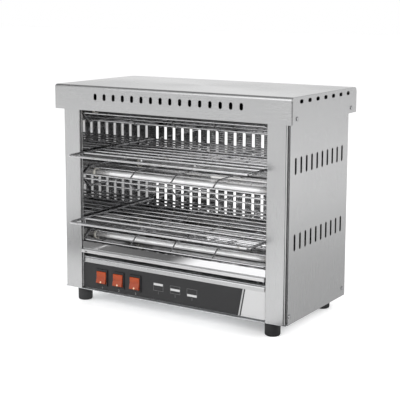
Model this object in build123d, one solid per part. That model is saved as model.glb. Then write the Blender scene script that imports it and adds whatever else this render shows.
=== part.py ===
from build123d import *
import os

# A free standing toaster with three rows of quartz heating tubes and two pull out racks.
# Lengths are in millimetres. X runs to the right, Y to the back and Z up.
# Every piece is drawn with Y measured from the middle of the cover. When it is written, it is
# moved so that the origin is the bottom centre of the whole object, rack handles included.

# Outside sizes
overall_height = 415.0
cover_width = 500.0
cover_depth = 255.0
side_overhang = 10.0
front_overhang = 9.0
rear_overhang = 10.0
foot_height = 25.0
handle_reach = 46.0

# Sheet metal
body_sheet = 1.0
cover_sheet = 1.2
sheet_bend = 1.5
overrun = 5.0

# Cover and the vents in its skirt
skirt_height = 46.0
cover_front_bend = 6.0
cover_side_bend = 2.0
skirt_slot_count = 16
skirt_slot_margin = 95.5
skirt_slot_width = 6.8
skirt_slot_length = 12.5
skirt_slot_drop = 20.3
skirt_hole_count = 7
skirt_hole_margin = 36.0
skirt_hole_shift = -2.0
skirt_hole_drop = 8.8
skirt_seam = 1.2
cover_screw_front_inset = 19.0
cover_screw_rear_inset = 23.0
cover_screw_rise = 9.5

# Front posts
post_width = 41.0
post_bend = 2.5
post_setback = 2.5
post_joggle_run = 2.0
post_return_depth = 20.5

# Side panels and their louvre slots
panel_setback = 7.5
panel_rear_flange = 14.0
panel_top_gap = 17.0
louvre_count = 10
louvre_margin = 26.9
louvre_width = 6.5
louvre_length = 29.0
louvre_low_rise = 2.5
louvre_high_rise = 12.0

# Rear panel, its air slots and its screws
rear_slot_count = 19
rear_slot_margin = 13.5
rear_slot_width = 6.0
rear_slot_length = 55.0
rear_slot_rise = 14.0
rear_screw_count = 3
rear_screw_margin = 54.0

# Grilling space
cavity_inset = 0.5
wall_flange = 14.0
reflector_bend = 4.0
reflector_lap = 5.0
reflector_slope_depth = 32.0
reflector_slope_drop = 70.0
header_height = 15.0
header_return = 15.0
header_drop = 2.0

# Rows of heating tubes
row_count = 3
bottom_row_rise = 25.8
top_row_drop = 4.0
tube_front_setback = 48.5
tube_rear_setback = 42.5
tube_radius = 6.5
tube_wall = 1.0
tube_overhang = 18.0
bush_flange_radius = 9.0
bush_flange_thickness = 2.0
bush_neck_radius = 7.8
bush_neck_length = 5.0
bush_clearance = 0.2
cap_radius = 8.5
cap_length = 16.0
cap_grip = 6.0
pin_radius = 1.5
pin_stickout = 5.0
coil_radius = 3.5
coil_gap = 9.0

# Wire guards round the tubes
guard_frame_radius = 1.5
guard_wire_radius = 1.25
guard_wire_lay = 2.3
guard_corner = 7.0
guard_bend = 4.0
guard_side_gap = 2.0
guard_cross_count = 3
guard_cross_share = 0.453
guard_wire_count = 5
guard_front_setback = 6.5
guard_rear_gap = 22.0
guard_slope_depth = 20.0
guard_hook = 3.0
bottom_guard_front = -1.0
bottom_guard_rise = 14.5
middle_guard_split = 8.0
middle_guard_front = -1.0
middle_upper_guard_rise = 15.5
middle_lower_guard_drop = 22.5
top_guard_front = -3.0
top_guard_drop = 21.0

# Racks
rack_rise = 41.0
upper_rack_lift = 3.2
rack_side_gap = 7.5
rack_rod_radius = 2.5
rack_corner = 7.0
rack_wire_radius = 2.0
rack_wire_count = 9
rack_front_setback = 1.5
rack_rear_gap = 6.5
rack_stay_share = 0.3
rack_stay_drop = 3.4
rack_running_gap = 0.2
runner_width = 12.5
runner_height = 12.0
runner_end_gap = 6.0

# Electrical compartment and control panel
deck_height = 87.0
deck_flange = 10.0
panel_recess = 5.0
panel_top_return = 14.0
panel_top_bend = 4.0
panel_bottom_return = 12.0
panel_left_gap = 5.0
panel_right_gap = 3.0
panel_corner_relief = 9.0
label_thickness = 0.4
label_side_gap = 1.5
label_top_gap = 10.0
label_bottom_gap = 3.0
label_right_gap = 46.5
label_slant = 9.0

# Rocker switches
switch_count = 3
switch_pitch = 38.6
switch_first_inset = 45.8
switch_drop = 0.5
bezel_width = 26.0
bezel_height = 32.0
bezel_thickness = 2.2
bezel_corner = 1.5
housing_width = 22.8
housing_height = 29.6
housing_depth = 20.0
housing_wall = 0.6
housing_fit = 0.2
rocker_width = 21.0
rocker_height = 22.5
rocker_swing = 7.0
rocker_rise = 1.6
rocker_depth = 4.0
rocker_end_gap = 1.0
rocker_end_round = 1.6
pivot_depth = 2.5
pivot_radius = 1.2
pivot_clearance = 0.05
terminal_width = 6.3
terminal_thickness = 0.8
terminal_length = 9.0
terminal_spacing = 8.0

# Crumb tray
tray_clearance = 1.0
tray_rise = 9.2
tray_wall_height = 10.0
tray_front_height = 20.8
tray_lip_height = 7.8
tray_lip_depth = 5.0
tray_lip_proud = 1.5
tray_lip_rise = 1.6
tray_rear_gap = 7.0
tray_notch_radius = 4.0
tray_notch_inset = 11.0
tray_running_gap = 0.2
tray_runner_width = 12.0
tray_runner_inset = 20.0
tray_runner_setback = 16.0

# Base pan and feet
base_flange_height = 20.0
base_rear_flange_height = 12.0
base_vent_count = 8
base_vent_pitch = 14.0
base_vent_width = 4.0
base_vent_length = 60.0
base_vent_offset = 95.0
foot_radius = 13.8
foot_round = 3.5
foot_side_inset = 35.0
foot_front_inset = 18.5
foot_rear_inset = 22.5
foot_bore_depth = 13.0

# Screws
screw_radius = 2.0
screw_hole_gap = 0.15
screw_head_radius = 3.8
screw_head_height = 1.8
screw_slot_width = 1.0
screw_slot_depth = 0.8
screw_grip = 6.0
panel_screw_height = 15.0
panel_screw_front_inset = 12.0
panel_screw_rear_inset = 13.0
spacer_radius = 4.0
foot_screw_radius = 3.0
foot_head_radius = 5.0
foot_head_height = 3.5

# Supply inlet, terminal block and leads
gland_offset = 60.0
gland_height = 52.0
gland_bore_radius = 4.5
gland_thread_radius = 8.0
gland_flange_radius = 11.0
gland_flange_thickness = 4.0
gland_dome_radius = 8.5
gland_dome_length = 5.0
gland_inner_length = 12.0
gland_nut_radius = 12.0
gland_nut_thickness = 4.0
block_width = 60.0
block_depth = 24.0
block_height = 34.0
block_rear_gap = 20.0
block_screw_radius = 3.0
block_screw_stickout = 1.5
lead_radius = 1.75
lead_bend = 6.0
lead_pitch = 4.5
feed_inset = 4.0
lead_entry_height = 14.0
wall_hole_gap = 4.0
earth_stud_radius = 2.5
earth_stud_height = 10.0
earth_nut_radius = 4.5
earth_nut_height = 4.0
earth_offset = 20.0
earth_rear_gap = 24.0

# Places that several pieces share
half_cover = cover_depth / 2
body_front = front_overhang - half_cover
body_rear = half_cover - rear_overhang
body_middle = (body_front + body_rear) / 2
body_half = cover_width / 2 - side_overhang
panel_inside = body_half - body_sheet
body_top = overall_height - cover_sheet
base_top = foot_height + body_sheet
post_inside = body_half - post_width
panel_front = body_front + panel_setback
control_front = body_front + panel_recess
control_rear = control_front + body_sheet
rear_inside = body_rear - body_sheet - body_sheet
cavity_half = post_inside - cavity_inset
deck_top = deck_height + body_sheet
tray_height = deck_height + tray_rise
label_low = base_top + label_bottom_gap - body_sheet
label_high = deck_height - label_top_gap
switch_height = (label_low + label_high) / 2 - switch_drop
skirt_bottom = overall_height - skirt_height
bottom_row_height = tray_height + bottom_row_rise
top_row_height = skirt_bottom - top_row_drop
row_pitch = (top_row_height - bottom_row_height) / (row_count - 1)
row_heights = [bottom_row_height + row_pitch * number for number in range(row_count)]
tube_rows = [body_front + tube_front_setback, rear_inside - tube_rear_setback]
tube_half_length = cavity_half + tube_overhang
guard_front = body_front + guard_front_setback
guard_bend_place = guard_front + guard_slope_depth
guard_rear = rear_inside - guard_rear_gap
guard_half = cavity_half - guard_side_gap
guard_cross_pitch = guard_half * guard_cross_share
lower_rack_height = bottom_row_height + rack_rise
upper_vent_level = lower_rack_height + row_pitch
upper_rack_height = upper_vent_level + upper_rack_lift
rack_front = body_front + rack_front_setback
rack_rear = rear_inside - rack_rear_gap
rack_wire_pitch = (rack_rear - rack_front) / (rack_wire_count - 1)
rack_half = cavity_half - rack_side_gap
handle_front = body_front - handle_reach + rack_rod_radius
frame_shift = (handle_reach - body_front - half_cover) / 2
screw_hole_radius = screw_radius + screw_hole_gap
header_bottom = skirt_bottom + header_drop
wall_top = header_bottom + header_height - body_sheet
cover_screw_height = skirt_bottom + cover_screw_rise
cover_screw_places = [cover_screw_front_inset - half_cover, half_cover - cover_screw_rear_inset]
panel_screw_places = [body_front + panel_screw_front_inset, body_rear - panel_screw_rear_inset]
panel_screw_level = foot_height + panel_screw_height
block_front = rear_inside - block_rear_gap - block_depth
block_middle = switch_first_inset + switch_pitch - post_inside
block_left = block_middle - block_width / 2
block_right = block_middle + block_width / 2
block_screw_pitch = block_width / row_count
lead_height = base_top + lead_entry_height


def row(count, pitch, middle=0.0):
    """Places in equal steps on both sides of a middle."""
    return [middle + pitch * (number - (count - 1) / 2) for number in range(count)]


def spread(count, low, high):
    """Places in equal steps from a low end to a high end."""
    return [low + (high - low) * number / (count - 1) for number in range(count)]


def block(x_span, y_span, z_span):
    """A box given by its lowest and highest place along each axis."""
    spans = (x_span, y_span, z_span)
    sizes = [high - low for low, high in spans]
    middles = [(high + low) / 2 for low, high in spans]
    return Pos(*middles) * Box(*sizes)


def bar(start, end, radius):
    """A round bar between two points."""
    along = Vector(*end) - Vector(*start)
    standing = (Align.CENTER, Align.CENTER, Align.MIN)
    return Plane(origin=start, z_dir=along) * Cylinder(radius, along.length, align=standing)


def wire(points, bends, radius):
    """A bent round wire through points."""
    path = FilletPolyline(*points, radius=bends)
    return sweep(Plane(path @ 0, z_dir=path % 0) * Circle(radius), path=path)


def bent_sheet(points, bends, plane, length):
    """A folded sheet whose middle line is drawn in a plane and which runs along its normal."""
    path = FilletPolyline(*points, radius=bends)
    return plane * extrude(trace(path, body_sheet), length)


def across(low):
    """The plane of Y and Z at the low end of a sheet that runs along X."""
    return Plane(origin=(low, 0, 0), x_dir=(0, 1, 0), z_dir=(1, 0, 0))


def facing(rear):
    """The plane of X and Z at the rear end of a sheet that runs forward."""
    return Plane(origin=(0, rear, 0), x_dir=(1, 0, 0), z_dir=(0, -1, 0))


def level(height):
    """The plane of X and Y at the low end of an upright sheet."""
    return Plane(origin=(0, 0, height), x_dir=(1, 0, 0), z_dir=(0, 0, 1))


def upright_slot(width, length, depth):
    """A slot with round ends that stands along Z and cuts along Y."""
    outline = SlotOverall(length, width, rotation=90)
    return Rot(90, 0, 0) * extrude(outline, depth / 2, both=True)


def hexagon_bar(start, end, radius):
    """A six sided bar along Y or Z, given by the radius across its corners."""
    along = Vector(*end) - Vector(*start)
    return Plane(origin=start, z_dir=along) * extrude(RegularPolygon(radius, 6), along.length)


def opposite(piece):
    """The same piece on the other side of the toaster."""
    return mirror(piece, about=Plane.YZ)


def pan_screw(seat, direction, grip, radius, head_radius, head_height):
    """A slotted pan head screw whose head stands on its seat and points along a direction."""
    head = Cylinder(head_radius, head_height, align=(Align.CENTER, Align.CENTER, Align.MIN))
    head = fillet(head.edges().group_by(Axis.Z)[-1], head_height / 2)
    slot_length = head_radius + head_radius + overrun
    head -= Pos(0, 0, head_height) * Box(slot_length, screw_slot_width, screw_slot_depth + screw_slot_depth)
    shank = Cylinder(radius, grip, align=(Align.CENTER, Align.CENTER, Align.MAX))
    return Plane(origin=seat, z_dir=direction) * (head + shank)


def skirted_box(width, depth, top, bottom, front_bend, side_bend):
    """A block with its top edges rounded as the folded cover is."""
    shape = block((-width / 2, width / 2), (-depth / 2, depth / 2), (bottom, top))
    front_edges = shape.edges().filter_by(Axis.X).group_by(Axis.Z)[-1]
    shape = fillet(front_edges, front_bend)
    ends = shape.faces().filter_by(Axis.X)
    side_edges = [edge for face in ends for edge in face.edges().filter_by(GeomType.LINE).group_by(Axis.Z)[-1]]
    side_edges += [edge for face in ends for edge in face.edges().filter_by(GeomType.CIRCLE)]
    return fillet(side_edges, side_bend)


def top_cover():
    outside = skirted_box(
        cover_width, cover_depth, overall_height, skirt_bottom, cover_front_bend, cover_side_bend)
    inside_width = cover_width - cover_sheet - cover_sheet
    inside_depth = cover_depth - cover_sheet - cover_sheet
    inside = skirted_box(
        inside_width, inside_depth, body_top, skirt_bottom - overrun,
        cover_front_bend - cover_sheet, cover_side_bend - cover_sheet)
    slot = upright_slot(skirt_slot_width, skirt_slot_length, cover_depth + overrun)
    slot_height = overall_height - skirt_slot_drop
    last_slot = cover_width / 2 - skirt_slot_margin
    cuts = [Pos(x, 0, slot_height) * slot for x in spread(skirt_slot_count, -last_slot, last_slot)]
    reach = cover_width / 2 + overrun
    hole_height = overall_height - skirt_hole_drop
    last_hole = half_cover - skirt_hole_margin
    side_slot = across(0) * extrude(SlotOverall(skirt_slot_length, skirt_slot_width), reach, both=True)
    for y in spread(skirt_hole_count, -last_hole, last_hole):
        cuts.append(Pos(0, y + skirt_hole_shift, hole_height) * side_slot)
    for y in cover_screw_places:
        cuts.append(bar((-reach, y, cover_screw_height), (reach, y, cover_screw_height), screw_hole_radius))
    seam_high = overall_height - cover_front_bend
    seam_near = half_cover - cover_sheet
    for low, high in ((-seam_near, skirt_seam - seam_near), (seam_near - skirt_seam, seam_near)):
        cuts.append(block((-reach, reach), (low, high), (skirt_bottom - overrun, seam_high)))
    return outside - inside - cuts


def cover_spacers():
    skirt_inside = cover_width / 2 - cover_sheet
    spacers = []
    for y in cover_screw_places:
        start = (body_half, y, cover_screw_height)
        end = (skirt_inside, y, cover_screw_height)
        spacer = bar(start, end, spacer_radius) - bar(start, end, screw_hole_radius)
        spacers += [spacer, opposite(spacer)]
    return spacers


def cover_screws():
    grip = cover_width / 2 - panel_inside + screw_grip
    screws = []
    for y in cover_screw_places:
        screw = pan_screw(
            (cover_width / 2, y, cover_screw_height), (1, 0, 0), grip,
            screw_radius, screw_head_radius, screw_head_height)
        screws += [screw, opposite(screw)]
    return screws


def side_screw_holes():
    """Cutters for every screw that goes through the right side of the body."""
    cuts = []
    for y in cover_screw_places:
        cuts.append(bar((post_inside, y, cover_screw_height), (cover_width, y, cover_screw_height), screw_hole_radius))
    for y in panel_screw_places:
        cuts.append(bar((post_inside, y, panel_screw_level), (cover_width, y, panel_screw_level), screw_hole_radius))
    return cuts


def right_side_panel():
    middle = body_half - body_sheet / 2
    rear = body_rear - body_sheet / 2
    points = [(middle, panel_front), (middle, rear), (body_half - panel_rear_flange, rear)]
    panel = bent_sheet(points, sheet_bend, level(foot_height), body_top - panel_top_gap - foot_height)
    slot = Rot(0, 0, 90) * upright_slot(louvre_width, louvre_length, overrun)
    cuts = side_screw_holes() + rear_screw_holes()
    for height in (lower_rack_height + louvre_low_rise, upper_vent_level + louvre_high_rise):
        for y in spread(louvre_count, body_front + louvre_margin, body_rear - louvre_margin):
            cuts.append(Pos(middle, y, height) * slot)
    return panel - cuts


def side_panel_screws():
    screws = []
    for y in panel_screw_places:
        screw = pan_screw(
            (body_half, y, panel_screw_level), (1, 0, 0), screw_grip,
            screw_radius, screw_head_radius, screw_head_height)
        screws += [screw, opposite(screw)]
    return screws


def right_front_post():
    half = body_sheet / 2
    face = body_front + half
    inner = post_inside + half
    flush = panel_inside - half
    inset = flush - post_setback
    points = [
        (inner, control_rear),
        (inner, face),
        (inset, face),
        (inset, panel_front),
        (flush, panel_front + post_joggle_run),
        (flush, body_front + post_return_depth),
    ]
    bends = [sheet_bend, post_bend, half + half / 2, half + half / 2]
    post = bent_sheet(points, bends, level(base_top), body_top - base_top)
    return post - side_screw_holes()


def front_header():
    face = body_front + body_sheet / 2
    high = wall_top + body_sheet / 2
    points = [(face, header_bottom), (face, high), (body_front + header_return, high)]
    return bent_sheet(points, sheet_bend, across(-post_inside), post_inside + post_inside)


def right_inner_wall():
    half = body_sheet / 2
    middle = cavity_half + half
    front = control_rear + half
    rear = rear_inside - half
    reach = middle + wall_flange
    points = [(reach, front), (middle, front), (middle, rear), (reach, rear)]
    wall = bent_sheet(points, sheet_bend, level(base_top), wall_top - base_top)
    outer = cavity_half + overrun
    cuts = []
    for z in row_heights:
        for y in tube_rows:
            cuts.append(bar((post_inside - wall_flange, y, z), (outer, y, z), bush_neck_radius))
    hook_radius = guard_wire_radius + bush_clearance
    for front_height, flat_height, z in guard_shapes().values():
        for y in guard_wire_places():
            cuts.append(bar((cavity_half - overrun, y, z), (outer, y, z), hook_radius))
    low = lead_height - lead_radius - wall_hole_gap
    high = lead_height + lead_radius + wall_hole_gap
    places = lead_places()
    cuts.append(block(
        (cavity_half - overrun, outer), (places[0] - wall_hole_gap, places[-1] + wall_hole_gap), (low, high)))
    return wall - cuts


def top_reflector():
    half = body_sheet / 2
    height = wall_top - half
    front = body_front + header_return - reflector_lap
    slope_start = rear_inside - reflector_slope_depth
    points = [
        (front, height),
        (slope_start, height),
        (rear_inside - half, height - reflector_slope_drop),
    ]
    return bent_sheet(points, reflector_bend, across(-cavity_half), cavity_half + cavity_half)


def rear_screw_places():
    return spread(rear_screw_count, base_top + rear_screw_margin, body_top - rear_screw_margin)


def rear_screw_holes():
    x = body_half - panel_rear_flange / 2
    return [
        bar((x, rear_inside - overrun, z), (x, body_rear + overrun, z), screw_hole_radius)
        for z in rear_screw_places()
    ]


def rear_panel():
    edge = panel_inside - sheet_bend
    panel = block((-edge, edge), (rear_inside, rear_inside + body_sheet), (foot_height, body_top))
    slot = upright_slot(rear_slot_width, rear_slot_length, overrun)
    last_slot = cavity_half - rear_slot_margin
    cuts = rear_screw_holes() + [opposite(hole) for hole in rear_screw_holes()]
    for vent_level in (lower_rack_height, upper_vent_level):
        for x in spread(rear_slot_count, -last_slot, last_slot):
            cuts.append(Pos(x, rear_inside, vent_level + rear_slot_rise) * slot)
    cuts.append(bar(
        (-gland_offset, rear_inside - overrun, gland_height),
        (-gland_offset, body_rear, gland_height), gland_thread_radius))
    return panel - cuts


def rear_panel_screws():
    x = body_half - panel_rear_flange / 2
    screws = []
    for z in rear_screw_places():
        screw = pan_screw(
            (x, body_rear, z), (0, 1, 0), screw_grip, screw_radius, screw_head_radius, screw_head_height)
        screws += [screw, opposite(screw)]
    return screws


def foot_places():
    front = body_front + foot_front_inset
    rear = body_rear - foot_rear_inset
    side = body_half - foot_side_inset
    return {
        "front_left_foot": (-side, front),
        "front_right_foot": (side, front),
        "rear_left_foot": (-side, rear),
        "rear_right_foot": (side, rear),
    }


def base_pan():
    pan = block((-panel_inside, panel_inside), (body_front, rear_inside), (foot_height, base_top))
    flange_top = foot_height + base_flange_height
    flange_front = body_front + post_return_depth + body_sheet
    for low in (-panel_inside, panel_inside - body_sheet):
        pan += block((low, low + body_sheet), (flange_front, rear_inside), (foot_height, flange_top))
    edge = cavity_half - body_sheet
    pan += block(
        (-edge, edge), (rear_inside - body_sheet, rear_inside), (foot_height, foot_height + base_rear_flange_height))
    low = foot_height - overrun
    high = base_top + overrun
    cuts = [bar((x, y, low), (x, y, high), foot_screw_radius + screw_hole_gap) for x, y in foot_places().values()]
    vent = extrude(SlotOverall(base_vent_length, base_vent_width), base_flange_height, both=True)
    for x in (-base_vent_offset, base_vent_offset):
        for y in row(base_vent_count, base_vent_pitch, body_middle):
            cuts.append(Pos(x, y, foot_height) * vent)
    rear_hole = side_screw_holes()[-1]
    return pan - cuts - [rear_hole, opposite(rear_hole)]


def foot(x, y):
    shape = bar((x, y, 0), (x, y, foot_height), foot_radius)
    shape = fillet(shape.edges().filter_by(GeomType.CIRCLE), foot_round)
    bore = bar((x, y, foot_height - foot_bore_depth), (x, y, foot_height + overrun), foot_screw_radius)
    return shape - bore


def foot_screws():
    grip = body_sheet + foot_bore_depth - screw_hole_gap
    return [
        pan_screw((x, y, base_top), (0, 0, 1), grip, foot_screw_radius - screw_hole_gap,
                  foot_head_radius, foot_head_height)
        for x, y in foot_places().values()
    ]


def compartment_deck():
    half = body_sheet / 2
    edge = cavity_half - half
    low = deck_height - deck_flange
    points = [(-edge, low), (-edge, deck_height + half), (edge, deck_height + half), (edge, low)]
    return bent_sheet(points, sheet_bend, facing(rear_inside), rear_inside - control_rear)


def switch_places():
    first = switch_first_inset - post_inside
    return [first + switch_pitch * number for number in range(switch_count)]


def switch_cutouts(width, height, low_y, high_y):
    """Cutters for all switch housings between two planes."""
    return [
        block((x - width / 2, x + width / 2), (low_y, high_y), (switch_height - height / 2, switch_height + height / 2))
        for x in switch_places()
    ]


def control_panel():
    half = body_sheet / 2
    face = control_front + half
    points = [
        (control_front + panel_bottom_return, base_top + half),
        (face, base_top + half),
        (face, deck_height - half),
        (control_front + panel_top_return, deck_height - half),
    ]
    left = panel_left_gap - cavity_half
    right = cavity_half - panel_right_gap
    panel = bent_sheet(points, [sheet_bend, panel_top_bend], across(left), right - left)
    bend_room = sheet_bend + half
    for low, high in ((-post_inside, left), (right, post_inside)):
        panel += block(
            (low, high), (control_front, control_rear), (base_top + bend_room, deck_height - panel_corner_relief))
    return panel - switch_cutouts(
        housing_width + housing_fit, housing_height + housing_fit, control_front - overrun, control_rear + overrun)


def control_label():
    left = label_side_gap - post_inside
    right = post_inside - label_right_gap
    outline = Polyline(
        (left, label_low), (right - label_slant, label_low), (right, label_high), (left, label_high), close=True)
    label = facing(control_front) * extrude(make_face(outline), label_thickness)
    return label - switch_cutouts(
        housing_width + housing_fit, housing_height + housing_fit, control_front - overrun, control_rear)


# Sections of a switch, drawn with Y outward from the pivot and Z up
switch_seat = control_front - label_thickness
bezel_front = switch_seat - bezel_thickness
pivot_place = bezel_front + pivot_depth


def switch_housing(x):
    """A black frame with a deep box behind it, open in front for the rocker."""
    low_bezel = switch_height - bezel_height / 2
    high_bezel = switch_height + bezel_height / 2
    half_bezel = bezel_width / 2
    bezel = block((x - half_bezel, x + half_bezel), (bezel_front, switch_seat), (low_bezel, high_bezel))
    bezel = fillet(bezel.edges().filter_by(Axis.Y), bezel_corner)
    bezel = fillet(bezel.faces().sort_by(Axis.Y)[0].edges(), bezel_thickness / 4)
    half_width = housing_width / 2
    half_height = housing_height / 2
    rear = switch_seat + housing_depth
    shell = block(
        (x - half_width, x + half_width), (switch_seat, rear),
        (switch_height - half_height, switch_height + half_height))
    inside = half_width - housing_wall
    opening = rocker_height / 2 + rocker_end_gap
    hollow = block(
        (x - inside, x + inside), (bezel_front - overrun, rear - terminal_thickness - pivot_depth),
        (switch_height - opening, switch_height + opening))
    pin_hole = bar(
        (x - half_width, pivot_place, switch_height), (x + half_width, pivot_place, switch_height),
        pivot_radius + pivot_clearance)
    return bezel + shell - hollow - pin_hole


def switch_rocker(x):
    """The lit button, tipped to its off side, with a stub pin on each side."""
    half = rocker_height / 2
    edge_rise = pivot_depth + rocker_rise + rocker_rise
    crown = pivot_depth + rocker_rise
    outline = Polyline(
        (-crown, 0), (-edge_rise, half), (0, half), (rocker_depth, half / 2),
        (rocker_depth, -half / 2), (0, -half), (-edge_rise, -half), close=True)
    width = rocker_width
    button = Plane(origin=(-width / 2, 0, 0), x_dir=(0, 1, 0), z_dir=(1, 0, 0)) * extrude(make_face(outline), width)
    tips = button.edges().filter_by(Axis.X).group_by(Axis.Y)[0]
    button = fillet(tips, rocker_end_round)
    pin_half = housing_width / 2 - housing_fit
    button += bar((-pin_half, 0, 0), (pin_half, 0, 0), pivot_radius)
    return Pos(x, pivot_place, switch_height) * Rot(-rocker_swing, 0, 0) * button


def terminal_heights():
    return row(2, terminal_spacing, switch_height)


def switch_terminals():
    tabs = []
    rear = switch_seat + housing_depth
    for x in switch_places():
        for z in terminal_heights():
            tabs.append(block(
                (x - terminal_width / 2, x + terminal_width / 2), (rear, rear + terminal_length),
                (z - terminal_thickness / 2, z + terminal_thickness / 2)))
    return tabs


def crumb_tray():
    half = body_sheet / 2
    edge = cavity_half - tray_clearance
    floor = tray_height + half
    lip_front = body_front - tray_lip_proud + half
    face = lip_front + tray_lip_depth
    lip_top = tray_height + tray_lip_height
    rear = rear_inside - tray_rear_gap
    points = [
        (rear - half, tray_height + tray_wall_height),
        (rear - half, floor),
        (lip_front, floor),
        (lip_front, lip_top - tray_lip_rise),
        (face, lip_top),
        (face, tray_height + tray_front_height),
    ]
    bends = [sheet_bend, sheet_bend, body_sheet, body_sheet]
    tray = bent_sheet(points, bends, across(-edge), edge + edge)
    for low in (-edge, edge - body_sheet):
        tray += block(
            (low, low + body_sheet), (face, rear - half), (floor, tray_height + tray_wall_height))
    notch_x = tray_notch_inset - edge
    notch = bar(
        (notch_x, lip_front - overrun, tray_height), (notch_x, lip_front + half + half / 2, tray_height),
        tray_notch_radius)
    return tray - notch


def tray_runners():
    half = body_sheet / 2
    top = tray_height - tray_running_gap - half
    rails = []
    for middle in (tray_runner_inset - cavity_half, cavity_half - tray_runner_inset):
        low = middle - tray_runner_width / 2 + half
        high = middle + tray_runner_width / 2 - half
        points = [(low, deck_top), (low, top), (high, top), (high, deck_top)]
        rear = rear_inside - runner_end_gap
        front = control_rear + tray_runner_setback
        rails.append(bent_sheet(points, sheet_bend, facing(rear), rear - front))
    return rails


def rack(height):
    """A frame rod that runs out into a handle loop, with wires across it and two stays below."""
    frame = wire(
        [(-rack_half, rack_rear, height), (-rack_half, handle_front, height),
         (rack_half, handle_front, height), (rack_half, rack_rear, height)],
        rack_corner, rack_rod_radius)
    wires = []
    for number in range(rack_wire_count):
        y = rack_front + rack_wire_pitch * number
        wires.append(bar((-rack_half, y, height), (rack_half, y, height), rack_wire_radius))
    low = height - rack_stay_drop
    for x in (-rack_half * rack_stay_share, rack_half * rack_stay_share):
        wires.append(bar(
            (x, rack_front - rack_wire_radius, low), (x, rack_rear + rack_wire_radius, low), rack_wire_radius))
    return frame + wires


def right_rack_runners():
    half = body_sheet / 2
    runners = []
    rear = rear_inside - runner_end_gap
    front = control_rear + runner_end_gap
    for height in (lower_rack_height, upper_rack_height):
        shelf = height - rack_rod_radius - rack_running_gap - half
        points = [
            (cavity_half - half, shelf - runner_height),
            (cavity_half - half, shelf),
            (cavity_half - runner_width, shelf),
        ]
        runners.append(bent_sheet(points, body_sheet, facing(rear), rear - front))
    return runners


def guard_wire_places():
    """Depths of the sideways wires of a guard."""
    start = guard_bend_place + guard_bend
    end = guard_rear - guard_frame_radius - guard_frame_radius
    return spread(guard_wire_count, start, end)


def guard_shapes():
    """Front height, level height and height of the sideways wires of each wire guard, by name."""
    bottom, middle, top = row_heights
    split = middle_guard_split / 2
    over_bottom = bottom + bottom_guard_rise
    under_middle = middle - middle_lower_guard_drop
    over_middle = middle + middle_upper_guard_rise
    under_top = top - top_guard_drop
    return {
        "bottom_guard": (bottom + bottom_guard_front, over_bottom, over_bottom - guard_wire_lay),
        "middle_lower_guard": (middle + middle_guard_front - split, under_middle, under_middle + guard_wire_lay),
        "middle_upper_guard": (middle + middle_guard_front + split, over_middle, over_middle - guard_wire_lay),
        "top_guard": (top + top_guard_front, under_top, under_top + guard_wire_lay),
    }


def guard(front_height, flat_height, wire_height):
    """A grid of wires that lies level behind the front wire and slopes to meet it."""
    half = guard_half
    frame = wire(
        [(-half, guard_rear, flat_height), (-half, guard_bend_place, flat_height),
         (-half, guard_front, front_height), (half, guard_front, front_height),
         (half, guard_bend_place, flat_height), (half, guard_rear, flat_height)],
        [guard_bend, guard_corner, guard_corner, guard_bend], guard_frame_radius)
    wires = []
    for x in row(guard_cross_count, guard_cross_pitch):
        wires.append(wire(
            [(x, guard_front, front_height), (x, guard_bend_place, flat_height), (x, guard_rear, flat_height)],
            guard_bend, guard_wire_radius))
    end = cavity_half + guard_hook
    for y in guard_wire_places():
        wires.append(bar((-end, y, wire_height), (end, y, wire_height), guard_wire_radius))
    return frame + wires


def quartz_tube(y, z):
    start = (-tube_half_length, y, z)
    end = (tube_half_length, y, z)
    return bar(start, end, tube_radius) - bar(start, end, tube_radius - tube_wall)


def tube_places():
    """Name, depth and height of each heating tube."""
    places = []
    for level_name, z in zip(("bottom", "middle", "top"), row_heights):
        for row_name, y in zip(("front", "rear"), tube_rows):
            places.append((f"{level_name}_{row_name}_tube", y, z))
    return places


def tube_bushes():
    bore = tube_radius + bush_clearance
    wall_outside = cavity_half + body_sheet
    bushes = []
    for name, y, z in tube_places():
        flange = bar((cavity_half - bush_flange_thickness, y, z), (cavity_half, y, z), bush_flange_radius)
        neck = bar((cavity_half, y, z), (wall_outside + bush_neck_length, y, z), bush_neck_radius)
        hole = bar((cavity_half - overrun, y, z), (wall_outside + bush_neck_length + overrun, y, z), bore)
        bush = flange + neck - hole
        bushes += [bush, opposite(bush)]
    return bushes


def tube_end_caps():
    caps = []
    start = tube_half_length - cap_grip
    for name, y, z in tube_places():
        cap = bar((start, y, z), (start + cap_length, y, z), cap_radius)
        cap -= bar((start - overrun, y, z), (tube_half_length, y, z), tube_radius + bush_clearance)
        cap -= bar((start, y, z), (start + cap_length + overrun, y, z), pin_radius + screw_hole_gap)
        caps += [cap, opposite(cap)]
    return caps


def element_pins():
    pins = []
    start = tube_half_length - coil_gap
    end = tube_half_length - cap_grip + cap_length + pin_stickout
    for name, y, z in tube_places():
        pin = bar((start, y, z), (end, y, z), pin_radius)
        pins += [pin, opposite(pin)]
    return pins


def heating_coils():
    half = tube_half_length - coil_gap
    return [bar((-half, y, z), (half, y, z), coil_radius) for name, y, z in tube_places()]


def lead_places():
    """Depth of each riser lead, the one of the bottom row in front."""
    start = tube_rows[1] + cap_radius + lead_radius + bush_clearance
    return [start + lead_pitch * number for number in range(len(row_heights))]


def element_leads(side, inner_end):
    """Leads from the tube pins of one side, down its duct and in to the terminal block."""
    x = side * (tube_half_length - cap_grip + cap_length + pin_stickout / 2)
    leads = []
    for z, y in zip(row_heights, lead_places()):
        high = z + pin_radius + lead_radius
        points = [(x, tube_rows[0], high), (x, y, high), (x, y, lead_height), (inner_end, y, lead_height)]
        leads.append(wire(points, lead_bend, lead_radius))
    return leads


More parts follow.
